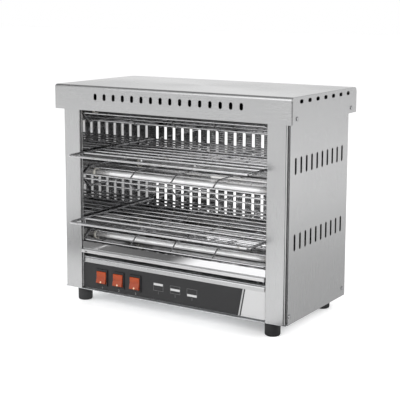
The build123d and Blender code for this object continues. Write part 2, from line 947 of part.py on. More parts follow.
def terminal_block():
    body = block((block_left, block_right), (block_front, block_front + block_depth),
                 (base_top, base_top + block_height))
    body = fillet(body.edges().filter_by(Axis.Z), block_screw_stickout)
    cuts = []
    for x in row(row_count, block_screw_pitch, block_middle):
        y = block_front + block_depth / 2
        cuts.append(bar((x, y, base_top + block_height - overrun), (x, y, base_top + block_height + overrun),
                        block_screw_radius + block_screw_stickout))
    return body - cuts


def terminal_screws():
    y = block_front + block_depth / 2
    seat = base_top + block_height - overrun
    return [
        bar((x, y, seat), (x, y, seat + block_screw_stickout + block_screw_stickout), block_screw_radius)
        for x in row(row_count, block_screw_pitch, block_middle)
    ]


def switch_leads():
    """A lead from each lower switch terminal and one feed across the upper terminals."""
    start = switch_seat + housing_depth + terminal_length
    lower, upper = terminal_heights()
    turn = (start + block_front) / 2
    ends = row(switch_count, block_screw_pitch, block_middle)
    leads = []
    for x, end_x in zip(switch_places(), ends):
        if abs(end_x - x) < lead_bend + lead_bend:
            leads.append(bar((x, start, lower), (x, block_front, lower), lead_radius))
        else:
            points = [(x, start, lower), (x, turn, lower), (end_x, turn, lower), (end_x, block_front, lower)]
            leads.append(wire(points, lead_bend, lead_radius))
    first = switch_places()[0]
    last = switch_places()[-1]
    feed = start + lead_radius
    entry = block_front + feed_inset
    points = [(first, feed, upper), (last, feed, upper), (last, entry, upper), (block_right, entry, upper)]
    leads.append(wire(points, lead_bend, lead_radius))
    return leads


def gland_part(outline_start, outline_end, radius):
    return bar((-gland_offset, outline_start, gland_height), (-gland_offset, outline_end, gland_height), radius)


def cable_gland():
    outside = rear_inside + body_sheet
    flange_end = outside + gland_flange_thickness
    dome_end = flange_end + gland_dome_length
    inner = rear_inside - gland_inner_length
    flange = hexagon_bar(
        (-gland_offset, outside, gland_height), (-gland_offset, flange_end, gland_height), gland_flange_radius)
    dome = gland_part(flange_end, dome_end, gland_dome_radius)
    dome = fillet(dome.edges().group_by(Axis.Y)[-1], gland_dome_length / 2)
    thread = gland_part(inner, outside, gland_thread_radius - screw_hole_gap)
    bore = gland_part(inner - overrun, dome_end + overrun, gland_bore_radius)
    return flange + dome + thread - bore


def gland_nut():
    nut = hexagon_bar(
        (-gland_offset, rear_inside - gland_nut_thickness, gland_height),
        (-gland_offset, rear_inside, gland_height), gland_nut_radius)
    return nut - gland_part(rear_inside - gland_nut_thickness - overrun, rear_inside + overrun, gland_thread_radius)


def earth_stud():
    y = rear_inside - earth_rear_gap
    stud = bar((earth_offset, y, base_top), (earth_offset, y, base_top + earth_stud_height), earth_stud_radius)
    nut = hexagon_bar(
        (earth_offset, y, base_top), (earth_offset, y, base_top + earth_nut_height), earth_nut_radius)
    return stud + nut


def save(name, *solids):
    """Writes one node with the origin at the bottom centre of the whole object."""
    shape = solids[0] if len(solids) == 1 else Compound(children=list(solids))
    export_step(Pos(0, frame_shift, 0) * shape, f"parts/{name}.step")


os.makedirs("parts", exist_ok=True)

save("top_cover", top_cover())
save("cover_spacers", *cover_spacers())
save("cover_screws", *cover_screws())
save("side_panel_screws", *side_panel_screws())
save("rear_panel", rear_panel())
save("rear_panel_screws", *rear_panel_screws())
save("front_header", front_header())
save("top_reflector", top_reflector())
save("base_pan", base_pan())
save("compartment_deck", compartment_deck())
save("foot_screws", *foot_screws())
for name, place in foot_places().items():
    save(name, foot(*place))

paired_pieces = {
    "side_panel": [right_side_panel()],
    "front_post": [right_front_post()],
    "inner_wall": [right_inner_wall()],
    "rack_runners": right_rack_runners(),
}
for name, pieces in paired_pieces.items():
    save(f"right_{name}", *pieces)
    save(f"left_{name}", *[opposite(piece) for piece in pieces])

save("control_panel", control_panel())
save("control_label", control_label())
for number, x in enumerate(switch_places(), start=1):
    save(f"switch_housing_{number}", switch_housing(x))
    save(f"switch_rocker_{number}", switch_rocker(x))
save("switch_terminals", *switch_terminals())

save("crumb_tray", crumb_tray())
save("tray_runners", *tray_runners())
save("lower_rack", rack(lower_rack_height))
save("upper_rack", rack(upper_rack_height))

for name, heights in guard_shapes().items():
    save(name, guard(*heights))
for name, y, z in tube_places():
    save(name, quartz_tube(y, z))
save("tube_bushes", *tube_bushes())
save("tube_end_caps", *tube_end_caps())
save("element_pins", *element_pins())
save("heating_coils", *heating_coils())

save("left_element_leads", *element_leads(-1, block_left))
save("right_element_leads", *element_leads(1, block_right))
save("switch_leads", *switch_leads())
save("terminal_block", terminal_block())
save("terminal_screws", *terminal_screws())
save("cable_gland", cable_gland())
save("gland_nut", gland_nut())
save("earth_stud", earth_stud())
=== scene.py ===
# %% [markdown]
# # A quartz toaster in brushed steel
#
# The toaster's metal shapes come from a CAD model, and this file dresses them: it gives every
# piece its finish, adds the small printed and glass details, and sets up a camera, lamps and a floor.
# The first cell loads the CAD model, and each of its pieces becomes a Blender object.

# %% Load the toaster
import math
import bpy
import bmesh
from mathutils import Matrix, Vector


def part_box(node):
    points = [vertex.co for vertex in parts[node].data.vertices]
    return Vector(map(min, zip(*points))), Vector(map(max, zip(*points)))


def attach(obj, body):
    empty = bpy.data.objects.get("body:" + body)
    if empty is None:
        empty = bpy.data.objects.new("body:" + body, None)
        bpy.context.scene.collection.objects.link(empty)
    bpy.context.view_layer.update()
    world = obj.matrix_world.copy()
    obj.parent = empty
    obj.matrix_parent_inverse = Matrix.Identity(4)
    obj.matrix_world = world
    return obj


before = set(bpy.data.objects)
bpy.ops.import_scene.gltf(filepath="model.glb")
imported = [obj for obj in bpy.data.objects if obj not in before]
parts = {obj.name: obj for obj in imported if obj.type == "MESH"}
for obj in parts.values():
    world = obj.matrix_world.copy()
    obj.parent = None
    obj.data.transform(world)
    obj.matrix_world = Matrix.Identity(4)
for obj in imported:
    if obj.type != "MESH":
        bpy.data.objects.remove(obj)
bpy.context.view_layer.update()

print("CAD pieces:", len(parts))

# %% [markdown]
# ## The camera
#
# The photographer stood to the right of the toaster and a little above it. The place and the lens
# below were solved from the corners of the cover and of the body, whose sizes are known. The picture
# has nearly upright verticals, as from a lens that was shifted down, so a small shift is kept.

# %% Camera
camera_place = Vector((1.03187, -1.61983, 0.57491))
camera_turn = math.radians(32.3985)
camera_tilt = math.radians(8.8072)
camera_roll = math.radians(0.1728)
camera_lens = 94.34
camera_sensor = 36.0
camera_drop = -0.1


def camera_axes(turn, tilt, roll):
    """Right, up and backward directions of a camera that looks along the ground and down."""
    back = Vector((math.sin(turn) * math.cos(tilt), -math.cos(turn) * math.cos(tilt), math.sin(tilt)))
    right = Vector((0, 0, 1)).cross(back).normalized()
    up = back.cross(right)
    rolled_right = right * math.cos(roll) + up * math.sin(roll)
    rolled_up = up * math.cos(roll) - right * math.sin(roll)
    return rolled_right, rolled_up, back


lens = bpy.data.cameras.new("camera")
lens.lens = camera_lens
lens.sensor_width = camera_sensor
lens.shift_y = camera_drop
camera = bpy.data.objects.new("camera", lens)
axes = camera_axes(camera_turn, camera_tilt, camera_roll)
camera.matrix_world = Matrix.Translation(camera_place) @ Matrix(axes).transposed().to_4x4()
bpy.context.scene.collection.objects.link(camera)
bpy.context.scene.camera = camera
bpy.context.scene.view_settings.view_transform = "Standard"
print("camera at", tuple(round(value, 3) for value in camera_place))

# %% [markdown]
# ## Shader sums in plain Python
#
# A material in Blender is a tree of nodes. Wiring many Math nodes by hand hides what they work out,
# so this small class holds one socket and turns a Python sum such as `1 - wear * 0.4` into the nodes
# for it. Every other kind of node comes from its one method, `node`.

# %% A socket that can be added and multiplied
class Strand:
    """One socket of a material's node tree, to be used in plain sums."""

    def __init__(self, tree, socket=None):
        self.tree = tree
        self.socket = socket

    def node(self, kind, settings=None, sockets=None, output=0):
        """Adds a node: first its settings, then the values or links of its sockets."""
        made = self.tree.nodes.new(kind)
        for name, value in (settings or {}).items():
            setattr(made, name, value)
        for name, value in (sockets or {}).items():
            target = made.inputs[name]
            if isinstance(value, Strand):
                self.tree.links.new(value.socket, target)
            else:
                target.default_value = value
        return Strand(self.tree, made.outputs[output])

    def math(self, operation, *terms):
        values = dict(enumerate(terms))
        return self.node("ShaderNodeMath", {"operation": operation}, values)

    def __add__(self, other):
        return self.math("ADD", self, other)

    def __sub__(self, other):
        return self.math("SUBTRACT", self, other)

    def __rsub__(self, other):
        return self.math("SUBTRACT", other, self)

    def __mul__(self, other):
        return self.math("MULTIPLY", self, other)

    def __pow__(self, other):
        return self.math("POWER", self, other)

    def __neg__(self):
        return self.math("MULTIPLY", self, -1.0)

    def __abs__(self):
        return self.math("ABSOLUTE", self)

    __radd__ = __add__
    __rmul__ = __mul__

    def step(self, low, high):
        """A smooth rise from 0 at low to 1 at high."""
        sockets = {"Value": self, "From Min": low, "From Max": high}
        return self.node("ShaderNodeMapRange", {"interpolation_type": "SMOOTHSTEP"}, sockets)

    def between(self, low, high, soft):
        """1 from low to high with soft ends, and 0 outside."""
        return self.step(low - soft, low + soft) * (1 - self.step(high - soft, high + soft))

    def blend(self, first, second):
        """A colour that goes from the first to the second as this value rises from 0 to 1."""
        return self.node("ShaderNodeMix", {"data_type": "RGBA"}, {0: self, 6: first, 7: second}, output=2)


def rgb(red, green, blue):
    return (red, green, blue, 1.0)


print("a middle grey is", rgb(0.5, 0.5, 0.5))

# %% [markdown]
# Every finish starts in the same way: an empty tree, the Principled shader and the output. This cell
# also has the textures that most finishes share. They use object coordinates, which are metres in
# the toaster's own frame, so the scale of a texture is a number of waves per metre on each axis.

# %% Starting a material
class Finish:
    """A material under construction, with its shader and its place on the object."""

    def __init__(self, name, **steady):
        self.material = bpy.data.materials.new(name)
        self.material.use_nodes = True
        tree = self.material.node_tree
        tree.nodes.clear()
        self.start = Strand(tree)
        self.tree = tree
        self.shader = tree.nodes.new("ShaderNodeBsdfPrincipled")
        output = tree.nodes.new("ShaderNodeOutputMaterial")
        tree.links.new(self.shader.outputs[0], output.inputs["Surface"])
        for name, value in steady.items():
            self.shader.inputs[name.replace("_", " ")].default_value = value
        self.place = self.start.node("ShaderNodeTexCoord", output="Object")

    def feed(self, name, strand):
        """Lets a strand vary one of the shader's sockets over the surface."""
        self.tree.links.new(strand.socket, self.shader.inputs[name])

    def fed(self, name):
        """The strand that feeds one of the shader's sockets now, to build on it."""
        return Strand(self.tree, self.shader.inputs[name].links[0].from_socket)

    def along(self, axis):
        """One coordinate of the place on the object, in metres."""
        return self.start.node("ShaderNodeSeparateXYZ", None, {0: self.place}, output=axis)

    def stretched(self, scale):
        """The place with each axis multiplied, to stretch a texture."""
        settings = {"operation": "MULTIPLY"}
        return self.start.node("ShaderNodeVectorMath", settings, {0: self.place, 1: scale})

    def noise(self, scale, detail):
        """A cloudy pattern from 0 to 1, with its waves per metre on each axis."""
        sockets = {"Vector": self.stretched(scale), "Scale": 1.0, "Detail": detail}
        return self.start.node("ShaderNodeTexNoise", None, sockets, output="Fac")

    def bump(self, height, distance, strength):
        """Feeds a height, in units of the distance, to the shader's normal."""
        sockets = {"Height": height, "Distance": distance, "Strength": strength}
        self.feed("Normal", self.start.node("ShaderNodeBump", None, sockets))


finishes = {}


def paint(finish, *names):
    """Gives a finish to CAD pieces and remembers it by name."""
    finishes[finish.material.name] = finish.material
    for name in names:
        for place in parts[name].material_slots:
            place.material = finish.material


print("finishes so far:", len(finishes))

# %% [markdown]
# ## Satin stainless steel
#
# The outer sheets are stainless steel that was ground with a belt, which leaves short fine scratches
# that all run one way. They could be an image, but a noise stretched a hundredfold along the grain
# does the same at any distance. The grain runs along X on the cover, the header and the control
# panel, and upright on the posts and the sides, as the sheets are cut. Hands leave faint dull areas,
# so a wide soft noise moves the roughness a little as well.

# %% Satin steel, two grain directions
waves_along = 25.0
waves_across = 2600.0
grain_x = (waves_along, waves_across, waves_across)
grain_z = (waves_across, waves_across, waves_along)
scratch_depth = 0.00002
satin_level = 0.45
satin_gloss = 0.25
handling_scale = (9.0, 9.0, 9.0)


def satin_steel(name, grain):
    finish = Finish(name, Metallic=1.0, Anisotropic=0.35)
    scratches = finish.noise(grain, detail=2.0)
    handled = finish.noise(handling_scale, detail=2.0)
    darker = rgb(satin_level * 0.95, satin_level * 0.955, satin_level * 0.965)
    lighter = rgb(satin_level * 1.04, satin_level * 1.04, satin_level * 1.045)
    finish.feed("Base Color", scratches.step(0.3, 0.7).blend(darker, lighter))
    finish.feed("Roughness", satin_gloss - 0.03 + scratches * 0.07 + handled.step(0.35, 0.7) * 0.03)
    finish.bump(scratches, scratch_depth, 0.35)
    return finish


paint(satin_steel("satin steel sideways", grain_x), "top_cover", "front_header", "control_panel")
paint(satin_steel("satin steel upright", grain_z),
      "left_side_panel", "right_side_panel", "left_front_post", "right_front_post")
print("satin grain:", round(1000 / waves_across, 2), "mm across,", round(1000 / waves_along), "mm along")

# %% [markdown]
# ## Bright steel inside the oven
#
# The walls, the reflector and the crumb tray are bright rolled sheet, nearly a mirror, so that they
# throw the tubes' heat onto the bread. A mirror with no marks looks false, so the roughness carries
# wiping marks and the sheet is very slightly wavy. The walls are faintly straw coloured beside the
# tubes, where the steel gets hot.

# %% Bright steel
wipe_scale = (60.0, 14.0, 60.0)
wave_scale = (7.0, 7.0, 7.0)
heat_scale = (3.0, 5.0, 16.0)
wave_depth = 0.0006
rolled_haze = 0.03


def bright_steel(name, level, heat):
    finish = Finish(name, Metallic=1.0)
    wipes = finish.noise(wipe_scale, detail=4.0)
    waves = finish.noise(wave_scale, detail=1.0)
    clean = rgb(level, level, level * 1.01)
    stained = rgb(level * 0.97, level * 0.9, level * 0.78)
    hot = finish.noise(heat_scale, detail=2.0).step(0.5, 0.75) * heat
    finish.feed("Base Color", hot.blend(clean, stained))
    finish.feed("Roughness", rolled_haze + wipes.step(0.4, 0.75) * 0.04)
    finish.bump(waves + wipes * 0.02, wave_depth, 0.25)
    return finish


# The same sheet is set to a different level on the walls, the rear panel and the tray, each to how light
# that part looks in place: lit and shaded copies, so these levels are painted light and shade.
paint(bright_steel("bright wall steel", level=0.48, heat=0.3),
      "left_inner_wall", "right_inner_wall", "left_rack_runners", "right_rack_runners")
paint(bright_steel("bright rear steel", level=0.66, heat=0.3), "rear_panel")
paint(bright_steel("bright tray steel", level=0.72, heat=0.1), "tray_runners")
print("bright finishes:", [name for name in finishes if name.startswith("bright")])

# %% [markdown]
# The reflector is the same sheet, but its upper side lies in the hot air under the cover, where it
# turns dull and dark. It could be a second material on the upper faces. One material does it too,
# because the height on the reflector says which side is meant.

# %% Reflector
reflector_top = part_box("top_reflector")[1][2]
oxide_band = 0.0006
oxide_start = reflector_top - oxide_band
oxide_full = reflector_top - oxide_band / 2
oxide_scale = (40.0, 40.0, 40.0)


def reflector_steel():
    finish = bright_steel("bright reflector steel", level=0.60, heat=0.3)
    above = finish.along("Z").step(oxide_start, oxide_full)
    clouds = finish.noise(oxide_scale, detail=4.0)
    oxide = clouds.blend(rgb(0.035, 0.035, 0.04), rgb(0.06, 0.055, 0.055))
    finish.feed("Base Color", above.blend(finish.fed("Base Color"), oxide))
    finish.feed("Roughness", finish.fed("Roughness") * (1 - above) + above * (0.5 + clouds * 0.2))
    return finish


paint(reflector_steel(), "top_reflector")
print("oxide above z =", round(oxide_full, 4))

# %% [markdown]
# The tray is the same bright sheet again, but its bent lip is handled every day and is ground dull.
# Here the height and the distance from the front say where the lip is.

# %% Crumb tray
tray_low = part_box("crumb_tray")[0]
lip_height = 0.0084
lip_edge = 0.0006
lip_depths = (0.0045, 0.0065)
lip_top = tray_low[2] + lip_height
lip_back = [tray_low[1] + depth for depth in lip_depths]


def tray_steel():
    finish = bright_steel("tray steel with a ground lip", level=0.72, heat=0.1)
    front = 1 - finish.along("Y").step(*lip_back)
    lip = front * (1 - finish.along("Z").step(lip_top - lip_edge, lip_top + lip_edge))
    scratches = finish.noise(grain_x, detail=2.0)
    ground = scratches.blend(rgb(0.54, 0.54, 0.545), rgb(0.59, 0.59, 0.595))
    finish.feed("Base Color", lip.blend(finish.fed("Base Color"), ground))
    finish.feed("Roughness", finish.fed("Roughness") * (1 - lip) + lip * (0.3 + scratches * 0.08))
    return finish


paint(tray_steel(), "crumb_tray")
print("ground lip below z =", round(lip_top, 4))

# %% [markdown]
# ## Zinc coated sheet
#
# The base pan and the deck over the electrical space are hidden sheets, so makers use plain zinc
# coated steel. Zinc freezes in crystals, the spangle. A Voronoi texture has that same pattern of
# cells, each with its own flat tone.

# %% Zinc sheet
crystals_per_metre = 140.0
crystal_step = 0.00001


def zinc_sheet():
    finish = Finish("zinc sheet", Metallic=1.0)
    sockets = {"Vector": finish.place, "Scale": crystals_per_metre}
    cells = finish.start.node("ShaderNodeTexVoronoi", None, sockets, output="Color")
    tone = finish.start.node("ShaderNodeSeparateColor", None, {0: cells})
    finish.feed("Base Color", tone.blend(rgb(0.50, 0.51, 0.52), rgb(0.62, 0.63, 0.64)))
    finish.feed("Roughness", 0.44 + tone * 0.14)
    finish.bump(tone, crystal_step, 0.3)
    return finish


paint(zinc_sheet(), "base_pan", "compartment_deck")
print("spangle of about", round(1000 / crystals_per_metre), "mm")

# %% [markdown]
# ## Bright wire, screws and brass
#
# The racks and the guards are steel wire, welded and then nickel plated. Drawing the wire leaves
# very fine lines, and the plating dulls in spots. The screws are zinc plated, a little duller, and
# the terminals are brass.

# %% Wire, screws and brass
speckle_depth = 0.00003


def plated_metal(name, light, dark, shine, speckle):
    finish = Finish(name, Metallic=1.0)
    spots = finish.noise((speckle, speckle, speckle), detail=5.0)
    dull = spots.step(0.52, 0.72)
    finish.feed("Base Color", dull.blend(light, dark))
    finish.feed("Roughness", shine + dull * 0.16)
    finish.bump(spots, speckle_depth, 0.3)
    return finish


paint(plated_metal("bright wire", rgb(0.52, 0.52, 0.53), rgb(0.38, 0.37, 0.36), 0.18, 160.0),
      "upper_rack", "lower_rack", "top_guard", "middle_upper_guard", "middle_lower_guard", "bottom_guard")
paint(plated_metal("zinc screw", rgb(0.50, 0.50, 0.51), rgb(0.34, 0.34, 0.35), 0.16, 700.0),
      "cover_screws", "cover_spacers", "side_panel_screws", "rear_panel_screws", "foot_screws",
      "terminal_screws")
paint(plated_metal("brass", rgb(0.76, 0.55, 0.24), rgb(0.52, 0.36, 0.16), 0.24, 300.0),
      "switch_terminals", "earth_stud")
print("plated finishes:", list(finishes)[-3:])

# %% [markdown]
# ## Quartz tubes
#
# Each heater is a tube of milky quartz round a coil. Milky quartz is full of fine bubbles drawn out
# along the tube. The bubbles scatter some of the light and mirror some of it, as pearl does, so the
# tube looks white and satin and still shows the room softly: half of it is given to the metallic
# side of the shader. Near both ends the glass is left clear, and the coil and end cap show through.
#
# The front underside is drawn dark, because the photograph shows a dark line there along each tube.
# This dark line is painted shade. The surface's own normal says which way it faces, so the painted shade
# follows the tube.

# %% Milky quartz
clear_end = 0.045
fade_inward = 0.018
fade_outward = 0.006
milky_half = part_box("middle_front_tube")[1][0] - clear_end
bubble_scale = (6.0, 700.0, 700.0)
bubble_depth = 0.00004
underside_shade_upward = (-0.55, -0.15)
underside_shade_rearward = (-0.3, 0.0)


def milky_quartz():
    finish = Finish("milky quartz", IOR=1.46, Coat_Roughness=0.08)
    milky = 1 - abs(finish.along("X")).step(milky_half - fade_inward, milky_half + fade_outward)
    streaks = finish.noise(bubble_scale, detail=3.0)
    white = streaks.blend(rgb(0.90, 0.90, 0.905), rgb(0.96, 0.96, 0.965))
    facing = finish.start.node("ShaderNodeTexCoord", output="Normal")
    rearward, upward = [
        finish.start.node("ShaderNodeSeparateXYZ", None, {0: facing}, output=axis) for axis in "YZ"]
    # Painted shade: the front underside of each tube is darkened, and there it loses its metallic and coat
    # share.
    painted_underside_shade = (1 - upward.step(*underside_shade_upward)) * (1 - rearward.step(*underside_shade_rearward))
    finish.feed("Base Color", painted_underside_shade.blend(white, rgb(0.05, 0.05, 0.05)))
    finish.feed("Metallic", milky * 0.5 * (1 - painted_underside_shade))
    finish.feed("Roughness", 0.13 + milky * 0.17 + streaks * 0.08)
    finish.feed("Coat Weight", milky * 0.5 * (1 - painted_underside_shade))
    finish.feed("Alpha", 0.22 + milky * 0.74)
    finish.bump(streaks, bubble_depth, 0.4)
    return finish


paint(milky_quartz(), *[name for name in parts if name.endswith("_tube")])
print("milky part of a tube:", round(2000 * milky_half), "mm")

# %% [markdown]
# ## Ceramic, resistance wire and leads
#
# Bushes, end caps and the terminal block are unglazed ceramic: off white, chalky, with small specks.
# The coil is dark oxidised resistance wire. The leads in the side ducts have a braided glass fibre
# sleeve, drawn here as two crossing wave patterns.

# %% Ceramic, coil wire and sleeves
chalk_scale = (250.0, 250.0, 250.0)
chalk_depth = 0.00008
speck_scale = (1500.0, 1500.0, 1500.0)
threads_per_metre = 420.0
thread_depth = 0.0001


def ceramic():
    finish = Finish("white ceramic")
    chalk = finish.noise(chalk_scale, detail=5.0)
    specks = finish.noise(speck_scale, detail=1.0).step(0.68, 0.74)
    clean = chalk.blend(rgb(0.70, 0.67, 0.60), rgb(0.82, 0.80, 0.75))
    finish.feed("Base Color", specks.blend(clean, rgb(0.45, 0.41, 0.35)))
    finish.feed("Roughness", 0.62 + chalk * 0.2)
    finish.bump(chalk, chalk_depth, 0.6)
    return finish


def braided_sleeve():
    finish = Finish("glass fibre sleeve", Sheen_Weight=0.2)
    sockets = {"Vector": finish.place, "Scale": threads_per_metre}
    slanting, upright = [
        finish.start.node("ShaderNodeTexWave", {"bands_direction": direction}, sockets, output="Fac")
        for direction in ("DIAGONAL", "X")]
    threads = slanting * upright
    finish.feed("Base Color", threads.blend(rgb(0.07, 0.065, 0.06), rgb(0.17, 0.16, 0.15)))
    finish.feed("Roughness", 0.7 + threads * 0.15)
    finish.bump(threads, thread_depth, 0.6)
    return finish


paint(ceramic(), "tube_bushes", "tube_end_caps", "terminal_block")
paint(braided_sleeve(), "left_element_leads", "right_element_leads", "switch_leads")
paint(plated_metal("resistance wire", rgb(0.30, 0.27, 0.24), rgb(0.13, 0.12, 0.11), 0.4, 900.0),
      "heating_coils", "element_pins")
print("heater finishes:", list(finishes)[-3:])

# %% [markdown]
# ## Rubber, moulded plastic and the dark label
#
# The feet are matt black rubber, greyed a little by dust. The switch frames and the cable gland are
# moulded black plastic with a fine spark eroded texture. The label on the control panel is a dark
# grey film, smooth and slightly satin.

# %% Rubber, plastics and label film
dust_scale = (30.0, 30.0, 30.0)


def moulded(name, dark, light, rough, texture, depth):
    finish = Finish(name, Specular_IOR_Level=0.32)
    skin = finish.noise((texture, texture, texture), detail=3.0)
    dust = finish.noise(dust_scale, detail=4.0).step(0.45, 0.8)
    finish.feed("Base Color", dust.blend(dark, light))
    finish.feed("Roughness", rough + skin * 0.1 + dust * 0.06)
    finish.bump(skin, depth, 0.5)
    return finish


paint(moulded("black rubber", rgb(0.018, 0.018, 0.019), rgb(0.034, 0.034, 0.035), 0.55, 1400.0, 0.00012),
      "front_left_foot", "front_right_foot", "rear_left_foot", "rear_right_foot")
paint(moulded("black moulded plastic", rgb(0.012, 0.012, 0.013), rgb(0.02, 0.02, 0.021),
              0.28, 2600.0, 0.00004),
      "switch_housing_1", "switch_housing_2", "switch_housing_3", "cable_gland", "gland_nut")
paint(moulded("dark label film", rgb(0.017, 0.017, 0.018), rgb(0.021, 0.021, 0.022), 0.38, 3200.0, 0.00002),
      "control_label")
print("dark finishes:", list(finishes)[-3:])

# %% [markdown]
# ## Lit rockers
#
# The rockers are clear orange plastic over a neon lamp. Seen unlit they are a saturated orange, painted
# lighter over the upper part as painted light from above, and a ribbed inner face breaks up the light.

# %% Orange rocker
rocker_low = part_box("switch_rocker_1")[0][2]
rocker_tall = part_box("switch_rocker_1")[1][2] - rocker_low
ribs_per_metre = 320.0
rib_depth = 0.00003
cloud_scale = (160.0, 160.0, 160.0)


def orange_lens():
    finish = Finish("orange lens", IOR=1.49, Specular_IOR_Level=0.25, Coat_Weight=0.1,
                    Coat_Roughness=0.06, Subsurface_Weight=0.2, Subsurface_Scale=0.003)
    ribs = finish.start.node(
        "ShaderNodeTexWave", {"bands_direction": "X"},
        {"Vector": finish.place, "Scale": ribs_per_metre, "Distortion": 0.4}, output="Fac")
    cloud = finish.noise(cloud_scale, detail=2.0)
    # Painted light: the upper part of each rocker is made lighter, as if lit from above.
    painted_upper_light = finish.along("Z").step(rocker_low + rocker_tall * 0.5, rocker_low + rocker_tall * 0.8)
    deep = rgb(0.26, 0.045, 0.018)
    light = rgb(0.38, 0.060, 0.012)
    finish.feed("Base Color", (ribs * 0.15 + cloud * 0.35 + painted_upper_light * 0.5).blend(deep, light))
    finish.feed("Roughness", 0.16 + cloud * 0.06)
    finish.bump(ribs, rib_depth, 0.2)
    return finish


paint(orange_lens(), "switch_rocker_1", "switch_rocker_2", "switch_rocker_3")
print("rocker height:", round(rocker_tall * 1000, 1), "mm")

# %% [markdown]
# Near the foot of each rocker the plastic has a small clear lens, where the lamp behind it shows
# lighter. A cut sphere would do, but its rings crowd at the pole, so the lens is a low dome of a few
# rings with a flat cap.

# %% Lens material and dome
lens_radius = 0.0018
lens_rise = 0.0002
lens_grain = (900.0, 900.0, 900.0)
ring_shares = (1.0, 0.94, 0.75, 0.4)
ring_corners = 24


def clear_lens():
    finish = Finish("clear lamp lens", IOR=1.49, Coat_Weight=0.4)
    grain = finish.noise(lens_grain, detail=3.0)
    finish.feed("Base Color", grain.blend(rgb(0.62, 0.36, 0.22), rgb(0.80, 0.55, 0.36)))
    finish.feed("Roughness", 0.2 + grain * 0.1)
    return finish.material


def ring(shape, share):
    """The corners of one ring of the dome, at a share of its radius."""
    reach = share * lens_radius
    height = lens_rise * (1 - share ** 2)
    angles = [math.tau * count / ring_corners for count in range(ring_corners)]
    return [shape.verts.new((reach * math.cos(angle), reach * math.sin(angle), height)) for angle in angles]


def dome():
    shape = bmesh.new()
    rings = [ring(shape, share) for share in ring_shares]
    for outer, inner in zip(rings, rings[1:]):
        for count in range(ring_corners):
            after = (count + 1) % ring_corners
            shape.faces.new((outer[count], outer[after], inner[after], inner[count]))
    shape.faces.new(rings[-1])
    return shape


print("lens:", round(2000 * lens_radius, 1), "mm across in", len(ring_shares), "rings")

# %% [markdown]
# A shape that this file builds becomes a Blender object in two steps. The shape is first written into a
# mesh. The mesh then gets its material, a place in the scene and the body that it moves with.

# %% From a shape to a piece
def mesh_of(shape, name):
    mesh = bpy.data.meshes.new(name)
    shape.to_mesh(mesh)
    shape.free()
    return mesh


def stand(name, mesh, material, body):
    """Puts a mesh in the scene as one piece that moves with a body."""
    mesh.materials.clear()
    mesh.materials.append(material)
    piece = bpy.data.objects.new(name, mesh)
    bpy.context.scene.collection.objects.link(piece)
    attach(piece, body)


# %% [markdown]
# The lens has to lie on the rocker's face, which leans. The lean could be typed in, but a ray shot at
# the rocker finds both where its face is and which way it looks.

# %% Lamp lenses
lens_height = 0.0031
ray_start = 0.05
switches = (1, 2, 3)


def lamp_lens(number, material):
    rocker = f"switch_rocker_{number}"
    low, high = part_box(rocker)
    start = Vector(((low[0] + high[0]) / 2, low[1] - ray_start, low[2] + lens_height))
    place, normal = parts[rocker].ray_cast(start, Vector((0, 1, 0)))[1:3]
    turn = normal.to_track_quat("Z", "Y").to_matrix().to_4x4()
    mesh = mesh_of(dome(), f"lamp_lens_{number}")
    mesh.transform(Matrix.Translation(place) @ turn)
    stand(f"lamp_lens_{number}", mesh, material, f"switch_rocker_{number}_body")
    print("lens", number, "on the face at", tuple(round(value, 4) for value in place))


lens_material = clear_lens()
for number in switches:
    lamp_lens(number, lens_material)

# %% [markdown]
# ## Printing on the label
#
# The label carries a digit under each switch and three small pictures: a box whose top, middle or
# bottom third is filled says which row of tubes a switch heats. They could be painted by the label's
# material, but thin raised prints keep crisp edges at any size. Each print is 0.05 mm thick ink.

# %% Ink
ink_depth = 0.00005
screen_scale = (2500.0, 2500.0, 2500.0)


def ink(name, tone):
    finish = Finish(name)
    screen = finish.noise(screen_scale, detail=2.0)
    thin = rgb(tone * 0.86, tone * 0.86, tone * 0.87)
    finish.feed("Base Color", screen.blend(rgb(tone, tone, tone), thin))
    finish.feed("Roughness", 0.45 + screen * 0.1)
    return finish.material


white_ink = ink("white ink", 0.56)
grey_ink = ink("grey ink", 0.14)
digit_ink = ink("digit ink", 0.34)
label_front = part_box("control_label")[0][1]
print("label's face at y =", round(label_front, 5))

# %% [markdown]
# A print is built as flat plates: a list of corners for each, pushed out by the depth of the ink.
# Extruding a face in Blender does the same, but here the eight corners are simply written out.

# %% Thin plates of ink
def rectangle(left, low, right, high):
    return [(left, low), (right, low), (right, high), (left, high)]


def plate(name, outlines, material, front):
    """Thin plates on an upright face, each given by its corners as x and z."""
    shape = bmesh.new()
    for corners in outlines:
        near = [shape.verts.new((x, front - ink_depth, z)) for x, z in corners]
        far = [shape.verts.new((x, front, z)) for x, z in corners]
        shape.faces.new(near)
        shape.faces.new(far[::-1])
        for number in range(len(corners)):
            following = (number + 1) % len(corners)
            shape.faces.new((near[following], near[number], far[number], far[following]))
    stand(name, mesh_of(shape, name), material, "housing")
    print(name, "has", len(outlines), "plates")


print("ink stands out", round(1000 * ink_depth, 2), "mm")

# %% [markdown]
# The frame of a picture is four thin lines, and its bar fills one third of it. The frames are grey
# and the bars white, as two pieces, because each ink is one material.

# %% Frames and bars of the pictures
picture_width = 0.0215
picture_height = 0.0145
picture_line = 0.0005
picture_low = 0.0456
picture_places = (-0.0248, 0.0120, 0.0482)
bar_gap = picture_line * 1.5


def picture_frame(middle):
    left = middle - picture_width / 2
    right = middle + picture_width / 2
    high = picture_low + picture_height
    return [
        rectangle(left, picture_low, right, picture_low + picture_line),
        rectangle(left, high - picture_line, right, high),
        rectangle(left, picture_low + picture_line, left + picture_line, high - picture_line),
        rectangle(right - picture_line, picture_low + picture_line, right, high - picture_line),
    ]


def picture_bar(middle, third):
    """The filled third of a picture, counted from the bottom."""
    height = picture_height / 3
    low = picture_low + height * third
    left = middle - picture_width / 2 + bar_gap
    right = middle + picture_width / 2 - bar_gap
    return rectangle(left, low + bar_gap / 2, right, low + height - bar_gap / 2)


